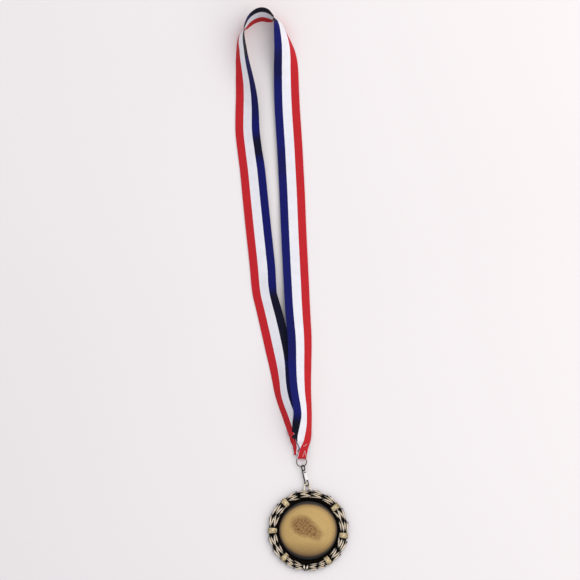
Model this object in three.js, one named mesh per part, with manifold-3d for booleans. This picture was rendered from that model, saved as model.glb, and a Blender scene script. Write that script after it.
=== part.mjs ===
// A prize medal on a striped neck ribbon, laid out on a table with its face up.
//
// The pieces, from the neck down: one woven ribbon whose two ends are folded in three,
// wrapped round a split ring and closed with two bar tacks; the split ring; a snap hook with
// a riveted spring tongue; and a cast medallion with a bail, a wreath rim and a round recess.
//
// Millimetres. +Z points up from the table, +Y from the medallion to the neck, and the
// origin is the middle of the footprint, on the table.

import * as THREE from 'three';
import { mergeVertices } from 'three/addons/utils/BufferGeometryUtils.js';
import Module from 'manifold-3d';

const wasm = await Module();
wasm.setup();

// ---------------------------------------------------------------- driving dimensions

const GAP = 0.3; // left between pieces that touch on the real medal

// Medallion: a 2 3/4 inch casting that takes a 2 inch round insert.
const MEDAL_RADIUS = 35;
const MEDAL_CENTRE = { x: 13.9, y: -209.3 };
const MEDAL_THICKNESS = 4.2;
const INSERT_SEAT_RADIUS = 25.4;
const INSERT_SEAT_HEIGHT = 1.8;
const RIM_INNER_RADIUS = 27.4; // where the dished wall of the recess meets the wreath
const MEDAL_FACETS = 80;

// Bail: the cast loop on top of the medallion.
const BAIL_WIRE = 0.6; // radius
const BAIL_HALF_WIDTH = 2.4; // to the middle of the wire
const BAIL_X = 12.75;
const BAIL_TOP_Y = -169.1; // middle of the wire at the top of the loop
const BAIL_Z = 2.1;
const BAIL_ROOT_DEPTH = 1.6; // how far the legs run into the rim

// Split ring.
const RING_WIRE = 0.45; // radius
const RING_RADIUS = 4.35; // to the middle of the wire
const RING_CENTRE = { x: 8.1, y: -149.5, z: 2.55 };
const RING_SPLIT_ANGLE = 20; // where the two ends of the wire meet, in degrees
const RING_SPLIT_GAP = 0.3;

// Snap hook, drawn flat in its own plane: u across, v down from the middle of the eye.
const HOOK_LEAN = 13; // the long axis against -Y, in degrees
const HOOK_TURN = 55; // the flat of the hook against the table, in degrees
const HOOK_WIRE = 0.5; // radius
const EYE_RADIUS = 2.4; // to the middle of the wire
const EYE_DROP = 1.15; // from the ring's wire down to the middle of the eye
const BEND_RADIUS = 2.4;
const BEND_V = 13.85; // from the middle of the eye to the middle of the bend
const NOSE_LENGTH = 2.9;
const NECK = { left: -1.5, right: 0.25, top: 2.2, bottom: 4.9, thickness: 2.1 };
const TONGUE = { thickness: 0.35, width: 2.2 };
const ROD_START = { u: -0.6, drop: 0.9 }; // the rod leaves the eye here, below the neck's top
const ROD_PULL = { u: -1.1, drop: 2.4 }; // and bends towards the spine
const ROD_STRAIGHT = { pull: -0.8, start: 2 }; // straight from here, below the neck
const RIVET_DOME = { reach: 0.75, rise: 0.8 }; // shoulder of the domed head, of its radius, height
const TONGUE_LINE = [[0.75, 3], [0.75, 5], [1.35, 9], [1.4, 12.6]]; // (u, v) of its mid-plane
const RIVET = { radius: 0.35, headRadius: 0.75, headHeight: 0.4, depth: 0.9, v: 4.1 };

// Ribbon: 7/8 inch wide, three stripes, both ends gathered and stitched at the ring.
const STRIPE = { red: 7.05, white: 8.1, blue: 7.05 };
const RIBBON_THICKNESS = 0.5;
const RIBBON_STEPS_PER_STATION = 4;
const SLEEVE_ANGLE = 84; // how much of the ring the folded end wraps, in degrees
const SLEEVE_HALF_GAP = 1.35; // room for the ring's wire inside the folded end
const SLEEVE_ROUNDING = 0.6; // at the bottom corners of the wrap
const SLEEVE_FOLD = { side: 0.3, middle: 0.7 }; // the room ends in a point below the neck
const SLEEVE_WALL = 0.75; // the folded layers together
const SLEEVE_SHOULDER = 1.4; // how far from the ring's wire the layers start to come together
const SLEEVE_NECK = 1.1; // half thickness of the stitched layers
const SLEEVE_TOP = 8.6; // from the ring's wire up to where the strands part
const TACK = { length: 4.4, width: 0.9, height: 0.35 };
const TACK_SPOTS = [[8.4, -142.6, 4.75, 0], [11.2, -136.4, 6.05, 28]]; // x, y, z, turn

const COLOURS = {
  ribbonRed: 0xc83037,
  ribbonBlue: 0x14195f,
  thread: 0xe9b4b4,
  nickel: 0xb9b4ac,
  tongue: 0xd8d6d2,
  antiqueGold: 0xbfa064,
};

// ---------------------------------------------------------------- small tools

const degrees = (angle) => (angle * Math.PI) / 180;
const vector = (x, y, z = 0) => new THREE.Vector3(x, y, z);

// A closed geometry as a solid that can be joined and cut.
function solidOf(geometry) {
  const bare = geometry.clone();
  bare.deleteAttribute('normal');
  bare.deleteAttribute('uv');
  const merged = mergeVertices(bare, 1e-5);
  return new wasm.Manifold(new wasm.Mesh({
    numProp: 3,
    vertProperties: new Float32Array(merged.attributes.position.array),
    triVerts: new Uint32Array(merged.index.array),
  }));
}

function geometryOf(solid) {
  const mesh = solid.getMesh();
  const geometry = new THREE.BufferGeometry();
  geometry.setAttribute('position', new THREE.BufferAttribute(mesh.vertProperties, 3));
  geometry.setIndex(new THREE.BufferAttribute(mesh.triVerts, 1));
  geometry.computeVertexNormals();
  return geometry;
}

function joined(first, ...others) {
  const solids = others.map(solidOf);
  return geometryOf(solids.reduce((sum, next) => sum.add(next), solidOf(first)));
}

function cut(body, tool) {
  return geometryOf(solidOf(body).subtract(solidOf(tool)));
}

// A closed tube of round section along a curve.
function wire(curve, radius, steps, sides = 10) {
  const section = new THREE.Shape();
  section.absarc(0, 0, radius, 0, 2 * Math.PI, false);
  return new THREE.ExtrudeGeometry(section, {
    extrudePath: curve, steps, curveSegments: sides, bevelEnabled: false,
  });
}

// Part of a circle as a curve in the XY plane, between two angles in degrees.
class ArcCurve extends THREE.Curve {
  constructor(centre, radius, from, to) {
    super();
    Object.assign(this, { centre, radius, from, to });
  }

  getPoint(t, target = new THREE.Vector3()) {
    const angle = degrees(this.from + (this.to - this.from) * t);
    return target.set(
      this.centre.x + this.radius * Math.cos(angle),
      this.centre.y + this.radius * Math.sin(angle),
      this.centre.z,
    );
  }
}

const model = new THREE.Group();

function addPiece(name, geometry, { color, roughness, metalness }, parent = model) {
  const material = new THREE.MeshStandardMaterial({ color, roughness, metalness });
  const piece = new THREE.Mesh(geometry, material);
  piece.name = name;
  parent.add(piece);
  return piece;
}

// ---------------------------------------------------------------- medallion

// Half section of the casting: flat back, rounded edge, wreath crown and dished recess.
function medallionDisc() {
  const top = MEDAL_THICKNESS;
  const profile = [
    [0, 0],
    [MEDAL_RADIUS - 0.9, 0],
    [MEDAL_RADIUS, 0.9],
    [MEDAL_RADIUS, top - 1.7],
    [MEDAL_RADIUS - 1, top - 0.6],
    [MEDAL_RADIUS - 3, top],
    [RIM_INNER_RADIUS + 1.6, top],
    [RIM_INNER_RADIUS, top - 0.7],
    [(RIM_INNER_RADIUS + INSERT_SEAT_RADIUS) / 2, INSERT_SEAT_HEIGHT + 0.5],
    [INSERT_SEAT_RADIUS, INSERT_SEAT_HEIGHT],
    [0, INSERT_SEAT_HEIGHT],
  ].map(([r, z]) => new THREE.Vector2(r, z));
  const disc = new THREE.LatheGeometry(profile, MEDAL_FACETS);
  disc.rotateX(Math.PI / 2); // the lathe turns round Y, the medal round Z
  disc.translate(MEDAL_CENTRE.x, MEDAL_CENTRE.y, 0);
  return disc;
}

// The bail is an arch of wire whose legs run down into the rim.
function bail() {
  const arch = new THREE.CurvePath();
  const springY = BAIL_TOP_Y - BAIL_HALF_WIDTH;
  const rootY = MEDAL_CENTRE.y + MEDAL_RADIUS - BAIL_ROOT_DEPTH;
  const centre = vector(BAIL_X, springY, BAIL_Z);
  const right = BAIL_X + BAIL_HALF_WIDTH;
  const left = BAIL_X - BAIL_HALF_WIDTH;
  arch.add(new THREE.LineCurve3(vector(right, rootY, BAIL_Z), vector(right, springY, BAIL_Z)));
  arch.add(new ArcCurve(centre, BAIL_HALF_WIDTH, 0, 180));
  arch.add(new THREE.LineCurve3(vector(left, springY, BAIL_Z), vector(left, rootY, BAIL_Z)));
  return wire(arch, BAIL_WIRE, 26);
}

addPiece('medallion_casting', joined(medallionDisc(), bail()), {
  color: COLOURS.antiqueGold, roughness: 0.4, metalness: 1,
});

// ---------------------------------------------------------------- split ring

function splitRing() {
  const half = (RING_SPLIT_GAP / RING_RADIUS / 2) * (180 / Math.PI);
  const from = RING_SPLIT_ANGLE + half;
  const to = RING_SPLIT_ANGLE + 360 - half;
  return wire(new ArcCurve(RING_CENTRE, RING_RADIUS, from, to), RING_WIRE, 48, 8);
}

addPiece('split_ring', splitRing(), { color: COLOURS.nickel, roughness: 0.25, metalness: 1 });

// ---------------------------------------------------------------- snap hook

// The hook's own plane, placed with the ring's wire through its eye.
const hookFrame = new THREE.Group();
const wireInEye = vector(
  RING_CENTRE.x + RING_RADIUS * Math.cos(degrees(-75)),
  RING_CENTRE.y + RING_RADIUS * Math.sin(degrees(-75)),
  RING_CENTRE.z,
);
const lean = degrees(HOOK_LEAN);
const turn = degrees(HOOK_TURN);
const down = vector(Math.sin(lean), -Math.cos(lean));
const across = vector(
  Math.cos(lean) * Math.cos(turn),
  Math.sin(lean) * Math.cos(turn),
  Math.sin(turn),
);
const normal = new THREE.Vector3().crossVectors(across, down);
hookFrame.applyMatrix4(new THREE.Matrix4().makeBasis(across, down, normal));
hookFrame.position.copy(wireInEye).addScaledVector(down, EYE_DROP);
model.add(hookFrame);

const hookNoseU = BEND_RADIUS;
const hookSpineU = -BEND_RADIUS;

function hookBody() {
  const eye = new THREE.TorusGeometry(EYE_RADIUS, HOOK_WIRE, 8, 28);
  const rod = new THREE.CurvePath();
  rod.add(new THREE.CubicBezierCurve3(
    vector(ROD_START.u, NECK.top + ROD_START.drop), vector(ROD_PULL.u, NECK.top + ROD_PULL.drop),
    vector(hookSpineU, NECK.bottom + ROD_STRAIGHT.pull),
    vector(hookSpineU, NECK.bottom + ROD_STRAIGHT.start),
  ));
  rod.add(new THREE.LineCurve3(
    vector(hookSpineU, NECK.bottom + ROD_STRAIGHT.start), vector(hookSpineU, BEND_V),
  ));
  rod.add(new ArcCurve(vector(0, BEND_V, 0), BEND_RADIUS, 180, 0));
  rod.add(new THREE.LineCurve3(
    vector(hookNoseU, BEND_V), vector(hookNoseU, BEND_V - NOSE_LENGTH),
  ));
  const hooked = wire(rod, HOOK_WIRE, 36, 8);
  const neck = new THREE.BoxGeometry(
    NECK.right - NECK.left, NECK.bottom - NECK.top, NECK.thickness,
  );
  neck.translate((NECK.right + NECK.left) / 2, (NECK.bottom + NECK.top) / 2, 0);
  return cut(joined(eye, hooked, neck), rivetHole());
}

// A hole along u through the tongue, and into the neck without coming out behind.
function rivetHole() {
  const radius = RIVET.radius + GAP;
  const from = NECK.right - RIVET.depth - GAP;
  const to = TONGUE_LINE[0][0] + 1;
  const hole = new THREE.CylinderGeometry(radius, radius, to - from, 12);
  hole.rotateZ(Math.PI / 2);
  hole.translate((from + to) / 2, RIVET.v, 0);
  return hole;
}

// The spring tongue: a thin strip, bowed a little, that rests against the nose.
function springTongue() {
  const half = TONGUE.thickness / 2;
  const outer = TONGUE_LINE.map(([u, v]) => new THREE.Vector2(u + half, v));
  const inner = TONGUE_LINE.map(([u, v]) => new THREE.Vector2(u - half, v)).reverse();
  const strip = new THREE.ExtrudeGeometry(new THREE.Shape([...outer, ...inner]), {
    depth: TONGUE.width, bevelEnabled: false,
  });
  strip.translate(0, 0, -TONGUE.width / 2);
  return cut(strip, rivetHole());
}

// The rivet: a shank along u with a domed head outside the tongue.
function rivet() {
  const end = NECK.right - RIVET.depth;
  const seat = TONGUE_LINE[0][0] + TONGUE.thickness / 2 + GAP;
  const profile = [
    [0, end], [RIVET.radius, end], [RIVET.radius, seat], [RIVET.headRadius, seat],
    [RIVET.headRadius * RIVET_DOME.reach, seat + RIVET.headHeight * RIVET_DOME.rise], [0, seat + RIVET.headHeight],
  ].map(([r, u]) => new THREE.Vector2(r, u));
  const pin = new THREE.LatheGeometry(profile, 16);
  pin.rotateZ(-Math.PI / 2); // from the Y axis to u
  pin.translate(0, RIVET.v, 0);
  return pin;
}

const nickel = { color: COLOURS.nickel, roughness: 0.3, metalness: 1 };
addPiece('snap_hook', hookBody(), nickel, hookFrame);
addPiece('hook_tongue', springTongue(), { ...nickel, color: COLOURS.tongue }, hookFrame);
addPiece('tongue_rivet', rivet(), nickel, hookFrame);

// ---------------------------------------------------------------- ribbon

// Stations along the ribbon, from the stitched end up the right strand, over the neck and
// down the left strand: x and y of the middle of the white stripe, how far the lower edge is
// off the table, then how far the red, the white and the blue stripe tilt up towards the
// blue edge, in degrees, and how much of its width the ribbon keeps where it is gathered.
const RIGHT_STRAND = [
  [8.2, -131, 1.2, 38, 30, 10, 0.8],
  [9.6, -113, 0.4, 50, 46, 12, 0.95],
  [9.4, -97, 0, 50, 50, 24, 1],
  [7.2, -78, 0, 36, 38, 20, 1],
  [6.6, -50, 0, 25, 26, 10, 1],
  [5.2, -20, 0, 20, 20, 14, 1],
  [3.7, 9, 0, 10, 10, 10, 1],
  [1.3, 48, 0, 12, 11, 9, 1],
  [-0.3, 87, 0, 5, 5, 5, 1],
  [-4.3, 157, 0, 14, 14, 14, 1],
  [-5.7, 191, 0, 21, 21, 21, 1],
  [-7.0, 209, 0, 36, 36, 36, 1],
];
const NECK_ARCH = [
  [-9.2, 221, 0, 65, 65, 65, 1],
  [-12.6, 230.5, 0, 96, 96, 96, 1],
  [-18.4, 236.4, 0, 110, 110, 110, 1],
  [-26, 238.9, 0, 118, 118, 118, 1],
  [-33.8, 236.6, 0, 118, 118, 118, 1],
  [-40, 230.6, 0, 106, 106, 106, 1],
  [-43.6, 222, 0, 88, 88, 88, 1],
];
const LEFT_STRAND = [
  [-44.1, 213, 0, 74, 74, 74, 1],
  [-43.1, 203, 0, 65, 65, 65, 1],
  [-42, 191, 0, 57, 57, 57, 1],
  [-40.4, 179, 0, 46, 46, 46, 1],
  [-39, 157, 0, 28, 28, 28, 1],
  [-35.9, 116, 0, 12, 12, 12, 1],
  [-32.9, 87, 0, 11, 11, 11, 1],
  [-28.6, 48, 0, 5, 5, 5, 1],
  [-24.8, 9, 0, 15, 15, 15, 1],
  [-17.8, -26, 0, 17, 16, 14, 1],
  [-12.6, -52, 0, 20, 10, -6, 1],
  [-7.8, -78, 0, 28, 14, -12, 1],
  [-3.4, -97, 0, 32, 10, -12, 0.92],
  [0.9, -113, 0, 28, 8, -8, 0.82],
  [6.0, -131, 0.6, 16, 4, 0, 0.68],
];
const ROUTE = [...RIGHT_STRAND, ...NECK_ARCH, ...LEFT_STRAND];
const ARCH_START = RIGHT_STRAND.length;
const ARCH_END = ARCH_START + NECK_ARCH.length - 1;
const ribbonMiddle = new THREE.CatmullRomCurve3(
  ROUTE.map(([x, y]) => vector(x, y)), false, 'centripetal',
);

// A value between the stations, from one column of the route.
function stationValue(column, at) {
  const index = Math.min(Math.floor(at), ROUTE.length - 2);
  return THREE.MathUtils.lerp(ROUTE[index][column], ROUTE[index + 1][column], at - index);
}

// The cross-section at a place on the route: four corners from the red edge to the blue
// edge, and the way the ribbon faces.
function crossSection(at) {
  const t = at / (ROUTE.length - 1);
  const middle = ribbonMiddle.getPoint(t);
  const heading = ribbonMiddle.getTangent(t);
  const left = vector(-heading.y, heading.x).normalize();
  const keep = stationValue(6, at);
  const stripe = (column, width) => {
    const tilt = degrees(stationValue(column, at));
    return left.clone().multiplyScalar(Math.cos(tilt) * width * keep)
      .add(vector(0, 0, Math.sin(tilt) * width * keep));
  };
  const halfWhite = stripe(4, STRIPE.white / 2);
  const whiteToRed = middle.clone().sub(halfWhite);
  const whiteToBlue = middle.clone().add(halfWhite);
  const redEdge = whiteToRed.clone().sub(stripe(3, STRIPE.red));
  const blueEdge = whiteToBlue.clone().add(stripe(5, STRIPE.blue));
  const face = blueEdge.clone().sub(redEdge).cross(heading).normalize();
  const edges = [redEdge, whiteToRed, whiteToBlue, blueEdge];
  const lowest = Math.min(...edges.map(({ z }) => z)) - Math.abs(face.z) * RIBBON_THICKNESS / 2;
  edges.forEach((edge) => { edge.z += stationValue(2, at) - lowest; });
  return { edges, face };
}

// A closed band of the three stripes between two stations, with half a gap at each end.
function ribbonBand(from, to) {
  const steps = Math.round(to - from) * RIBBON_STEPS_PER_STATION;
  const stationLength = ribbonMiddle.getPoint(to / (ROUTE.length - 1))
    .distanceTo(ribbonMiddle.getPoint((to - 1) / (ROUTE.length - 1)));
  const trim = GAP / stationLength;
  // The box's x runs across from red to blue, its y along, its z through the thickness.
  const band = new THREE.BoxGeometry(1, 1, 1, 3, steps, 1);
  const { position } = band.attributes;
  for (let i = 0; i < position.count; i += 1) {
    const along = THREE.MathUtils.lerp(from + trim, to - trim, position.getY(i) + 0.5);
    const { edges, face } = crossSection(along);
    const edge = edges[Math.round((position.getX(i) + 0.5) * 3)];
    const place = edge.clone().addScaledVector(face, position.getZ(i) * RIBBON_THICKNESS);
    position.setXYZ(i, place.x, place.y, place.z);
  }
  return turnedOut(band);
}

// Faces point outwards whichever way round the band was bent.
function turnedOut(geometry) {
  const bare = geometry.clone();
  bare.deleteAttribute('normal');
  bare.deleteAttribute('uv');
  const merged = mergeVertices(bare, 1e-5);
  const { array } = merged.attributes.position;
  const index = merged.index.array;
  let volume = 0;
  for (let i = 0; i < index.length; i += 3) {
    const [a, b, c] = [0, 1, 2].map((k) => new THREE.Vector3().fromArray(array, index[i + k] * 3));
    volume += a.dot(b.cross(c));
  }
  if (volume < 0) {
    for (let i = 0; i < index.length; i += 3) {
      [index[i], index[i + 1]] = [index[i + 1], index[i]];
    }
  }
  return merged;
}

// The stitched end: a sleeve of folded layers round the ring's wire. Its section, with x
// through the thickness and y away from the middle of the ring, is swept round the ring.
function stitchedEnd() {
  const wall = SLEEVE_HALF_GAP + SLEEVE_WALL;
  const floor = -(RING_WIRE + GAP);
  const rounded = (half, bottom, shoulder) => [
    [-half, shoulder], [-half, bottom + SLEEVE_ROUNDING], [-half / 2, bottom],
    [half / 2, bottom], [half, bottom + SLEEVE_ROUNDING], [half, shoulder],
  ];
  const points = (list) => list.map(([x, y]) => new THREE.Vector2(x, -y));
  const section = new THREE.Shape(points([
    ...rounded(wall, floor - SLEEVE_WALL, SLEEVE_SHOULDER),
    [SLEEVE_NECK, SLEEVE_TOP - 1], [SLEEVE_NECK, SLEEVE_TOP],
    [-SLEEVE_NECK, SLEEVE_TOP], [-SLEEVE_NECK, SLEEVE_TOP - 1],
  ]));
  const room = rounded(SLEEVE_HALF_GAP, floor, SLEEVE_SHOULDER - SLEEVE_FOLD.side);
  const roof = [0, SLEEVE_SHOULDER + SLEEVE_FOLD.middle];
  section.holes.push(new THREE.Path(points([...room, roof]).reverse()));
  const sleeve = new THREE.ExtrudeGeometry(section, {
    extrudePath: new ArcCurve(
      RING_CENTRE, RING_RADIUS, 90 - SLEEVE_ANGLE / 2, 90 + SLEEVE_ANGLE / 2,
    ),
    steps: 10, bevelEnabled: false,
  });
  return geometryOf(solidOf(sleeve));
}

// A bar tack: a low bar of thread lying across the folded end.
function barTack([x, y, z, turned]) {
  const bar = new THREE.BoxGeometry(TACK.length, TACK.width, TACK.height, 4, 1, 1);
  bar.rotateZ(degrees(turned));
  bar.translate(x, y, z);
  return bar;
}

const cloth = { color: COLOURS.ribbonRed, roughness: 0.9, metalness: 0 };

addPiece('ribbon_right_strand', ribbonBand(0, ARCH_START), cloth);
addPiece('ribbon_neck_arch', ribbonBand(ARCH_START, ARCH_END), {
  ...cloth, color: COLOURS.ribbonBlue,
});
addPiece('ribbon_left_strand', ribbonBand(ARCH_END, ROUTE.length - 1), cloth);
addPiece('ribbon_folded_end', stitchedEnd(), cloth);
TACK_SPOTS.forEach((spot, index) => {
  addPiece(`bar_tack_${index + 1}`, barTack(spot), { ...cloth, color: COLOURS.thread });
});

export default model;
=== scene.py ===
# %% [markdown]
# # A neck ribbon medal
# The medal is a cast medallion on a snap hook, a split ring and one long woven ribbon.
# The imported CAD model comes in first as a fixed frame: its nodes say where everything is,
# and each new piece is built where its node lies.

# %% Load the frame
import math

import bmesh
import bpy
import numpy as np
from mathutils import Matrix, Vector


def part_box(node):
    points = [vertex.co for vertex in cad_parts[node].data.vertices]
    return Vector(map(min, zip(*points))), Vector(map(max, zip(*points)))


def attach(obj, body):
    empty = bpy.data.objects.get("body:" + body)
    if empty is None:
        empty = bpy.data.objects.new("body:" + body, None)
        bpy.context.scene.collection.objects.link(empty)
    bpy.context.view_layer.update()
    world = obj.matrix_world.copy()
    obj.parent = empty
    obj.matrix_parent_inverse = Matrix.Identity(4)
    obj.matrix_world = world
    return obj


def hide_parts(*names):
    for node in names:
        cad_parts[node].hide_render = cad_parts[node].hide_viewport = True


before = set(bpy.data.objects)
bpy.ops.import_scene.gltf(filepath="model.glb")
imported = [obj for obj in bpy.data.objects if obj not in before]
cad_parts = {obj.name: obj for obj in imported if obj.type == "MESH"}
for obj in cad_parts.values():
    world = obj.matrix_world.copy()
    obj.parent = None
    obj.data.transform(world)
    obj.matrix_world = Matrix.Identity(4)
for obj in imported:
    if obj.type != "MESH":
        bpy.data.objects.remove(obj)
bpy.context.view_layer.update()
MM = 0.001
print("nodes in the frame:", sorted(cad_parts))

# %% [markdown]
# ## Camera
# The medal lies flat on a table and is seen from straight above, so the camera looks down Z.
# A long lens from far away keeps the raised ribbon where a drawing would put it; a short
# lens would push everything high towards the edges.

# %% Camera
CAMERA_HEIGHT = 3.0
VIEW_WIDTH = 0.5049
camera_data = bpy.data.cameras.new("camera")
camera_data.sensor_width = 36
camera_data.lens = 36 * CAMERA_HEIGHT / VIEW_WIDTH
camera_data.clip_end = 20
camera = bpy.data.objects.new("camera", camera_data)
camera.location = (-1.96 * MM, -0.17 * MM, CAMERA_HEIGHT)
bpy.context.scene.collection.objects.link(camera)
bpy.context.scene.camera = camera
print("lens", round(camera_data.lens, 1), "mm")

# %% [markdown]
# ## Light and table
# One broad soft light stands to the upper right, so shadows fall softly to the lower left,
# and a pale sky fills them. The standard view transform keeps the cloth's colours as mixed.

# %% Light
def soft_light(name, size, power, place, warmth):
    lamp = bpy.data.lights.new(name, "AREA")
    lamp.shape = "SQUARE"
    lamp.size = size
    lamp.energy = power
    lamp.color = warmth
    stand = bpy.data.objects.new(name, lamp)
    stand.location = place
    stand.rotation_euler = (-Vector(place)).to_track_quat("-Z", "Y").to_euler()
    bpy.context.scene.collection.objects.link(stand)
    print(name, power, "W at", place)


soft_light("main_light", 1.25, 8.8, (0.62, 0.55, 1.15), (1.0, 0.97, 0.94))
soft_light("low_light", 0.6, 1.6, (0.9, -0.35, 0.5), (1.0, 0.96, 0.92))

world = bpy.data.worlds.new("studio")
bpy.context.scene.world = world
world.use_nodes = True
world.node_tree.nodes["Background"].inputs["Color"].default_value = (0.93, 0.95, 1.0, 1)
world.node_tree.nodes["Background"].inputs["Strength"].default_value = 0.79
bpy.context.scene.view_settings.view_transform = "Standard"

# %% [markdown]
# ## Mixing a finish
# Every finish is a tree of nodes. These helpers shorten the writing: `finish_tree`
# starts a material, `add` puts in a node with its settings, and `ramp` makes colour stops.
# `srgb` turns the colours of a paint chart into light, and `math_node` does one sum.

# %% Helpers for finishes
def srgb(red, green, blue):
    def linear(value):
        value /= 255
        return value / 12.92 if value <= 0.04045 else ((value + 0.055) / 1.055) ** 2.4
    return (linear(red), linear(green), linear(blue), 1)


def finish_tree(name, **sockets):
    material = bpy.data.materials.new(name)
    material.use_nodes = True
    tree = material.node_tree
    shader = tree.nodes["Principled BSDF"]
    for socket, value in sockets.items():
        shader.inputs[socket.replace("_", " ").title().replace("Ior", "IOR")].default_value = value
    return material, tree, shader


def add(tree, kind, links=(), **settings):
    node = tree.nodes.new("ShaderNode" + kind)
    for key, value in settings.items():
        setattr(node, key, value)
    for socket, value in dict(links).items():
        if isinstance(value, bpy.types.NodeSocket):
            tree.links.new(value, node.inputs[socket])
        else:
            node.inputs[socket].default_value = value
    return node


def ramp(tree, factor, stops, how="LINEAR"):
    node = add(tree, "ValToRGB", {"Fac": factor})
    colours = node.color_ramp
    colours.interpolation = how
    while len(colours.elements) < len(stops):
        colours.elements.new(0.5)
    for element, (place, colour) in zip(colours.elements, stops):
        element.position = place
        element.color = colour
    return node.outputs["Color"]


def math_node(tree, operation, first, second=0.0):
    node = add(tree, "Math", {0: first, 1: second}, operation=operation)
    return node.outputs[0]


print("helpers ready")

# %% Table
bpy.ops.object.select_all(action="DESELECT")
bpy.ops.mesh.primitive_plane_add(size=6, location=(0, 0, -0.0002))
table = bpy.context.object
table.name = "table"
table_paint, tree, shader = finish_tree("pale_table", roughness=0.75)
place = add(tree, "TexCoord").outputs["Object"]
mottle = add(tree, "TexNoise", {"Vector": place, "Scale": 2.0, "Detail": 2.0}).outputs["Fac"]
tree.links.new(ramp(tree, mottle, [(0.3, srgb(233, 227, 226)), (0.7, srgb(236, 230, 229))]),
               shader.inputs["Base Color"])
table.data.materials.append(table_paint)

# %% [markdown]
# ## The ribbon's route
# The ribbon is one woven strip 22.2 mm wide. It starts behind the ring, wraps it, runs up
# as the right strand, turns over at the neck and comes back down as the left strand.
# A strip that bends and twists gently is not worth simulating: we say where it lies at a
# few stations, and let smooth curves join them. Each station says where one thread lies,
# how high the lowest part is, and how the three stripes tilt across the strip.

# %% Stations
RED, WHITE, BLUE = 7.05, 8.1, 7.05
WIDTH = RED + WHITE + BLUE
SEAM, EDGE = RED, WIDTH  # the thread a station speaks of
RED_TUCK = 0.6


def station(x, y, thread, heading, lift, red, white, blue, folds=(), tuck=(RED_TUCK, 0)):
    """One row: where it is, where it heads, how the stripes tilt, and how it is folded.

    folds are (place, turn) pairs on the blue side; without them the cloth only turns from
    the white stripe's tilt to the blue stripe's. tuck is a fold on the red side."""
    (first, turn), (second, back) = folds or ((RED + WHITE, blue - white), (21.6, 0))
    return (x, y, thread, heading, lift, red, white, first, turn, second, back, *tuck)


THIRD = WIDTH / 3
IN_THREE = ((THIRD, -180), (2 * THIRD, 180))
RIGHT_STRAND = [
    station(4.85, -145.0, SEAM, 90, 3.95, 0, 0, 0, IN_THREE),
    station(6.1, -141.0, SEAM, 90, 3.8, 2, 2, 0, IN_THREE),
    station(7.2, -137.3, SEAM, 90, 2.4, 15, 15, 0, ((THIRD + 0.1, -179), (2 * THIRD, 178))),
    station(8.4, -134.6, SEAM, 90, 1.8, 22, 42, 0, ((10.8, -178), (18.2, 174))),
    station(9.7, -131.8, SEAM, 90, 1.5, 29, 50, 0, ((15.0, -170), (21.6, 0))),
    station(10.3, -129.3, SEAM, 90, 1.6, 33, 46, 0, ((15.1, -104), (21.6, 0))),
    station(10.9, -126.4, SEAM, 90, 1.5, 37, 42, -48),
    station(11.7, -122.0, SEAM, 90, 0.9, 46, 43, -35),
    station(12.3, -117.7, SEAM, 90, 0, 51, 46, -24),
    station(12.5, -109.0, SEAM, 90, 0, 52, 57, 5),
    station(12.1, -100.3, SEAM, 90, 0, 50, 53, 22),
    station(11.1, -91.6, SEAM, 90, 0, 42, 48, 25),
    station(10.4, -78.5, SEAM, 90, 0, 34, 39, 19),
    station(10.3, -65.5, SEAM, 90, 0, 28, 34, 10),
    station(10.4, -52.4, SEAM, 91, 0, 25, 31, 3),
    station(10.1, -39.4, SEAM, 92, 0, 20, 28, 5),
    station(9.2, -26.3, SEAM, 92, 0, 16, 22, 8),
    station(-6.4, -13.2, EDGE, 93, 0, 10, 16, 8),
    station(-7.4, 4.2, EDGE, 93, 0, 8, 10, 8),
    station(-8.1, 17.2, EDGE, 93, 0, 8, 8, 8),
    station(-9.8, 52.1, EDGE, 93, 0, 8, 9, 6),
    station(-11.3, 86.9, EDGE, 93, 0, 5, 6, 5),
    station(-12.2, 104.3, EDGE, 93, 0, 5, 8, 5),
    station(-13.1, 121.7, EDGE, 93, 0, 6, 8, 5),
    station(-14.2, 139, EDGE, 93, 0, 5, 10, 4),
    station(-15.3, 156.5, EDGE, 92.5, 0, 4, 12, 4),
    station(-15.9, 176, EDGE, 91, 0, 6, 20, 2),
    station(-16.0, 193, EDGE, 90, 0, 20, 25, 3),
    station(-15.8, 202, EDGE, 90, 0, 40, 27, 12),
    station(-15.6, 209, EDGE, 90, 0, 56, 33, 19),
    station(-15.7, 216, EDGE, 90, 0, 74, 41, 26),
    station(-15.8, 223, EDGE, 91, 0, 88, 52, 38),
    station(-15.8, 229.0, EDGE, 95, 0, 96, 64, 52),
]
NECK_ARCH = [
    station(-15.8, 232.4, EDGE, 103, 0, 99, 76, 65),
    station(-16.1, 235.4, EDGE, 142, 0, 100, 92, 86),
    station(-16.9, 238.0, EDGE, 176, 0, 100, 104, 102),
    station(-18.8, 240.8, EDGE, 181, 0, 108, 112, 111),
    station(-21.8, 243.1, EDGE, 181, 0, 117, 117, 117),
    station(-26, 244.2, EDGE, 181, 0, 118, 118, 118),
    station(-30.7, 243.3, EDGE, 183, 0, 118, 118, 118),
    station(-35.4, 240.2, EDGE, 186, 0, 117, 115, 114),
    station(-38.7, 236.2, EDGE, 191, 0, 112, 110, 109),
    station(-40.7, 231.5, EDGE, 203, 0, 104, 101, 101),
]
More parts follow.
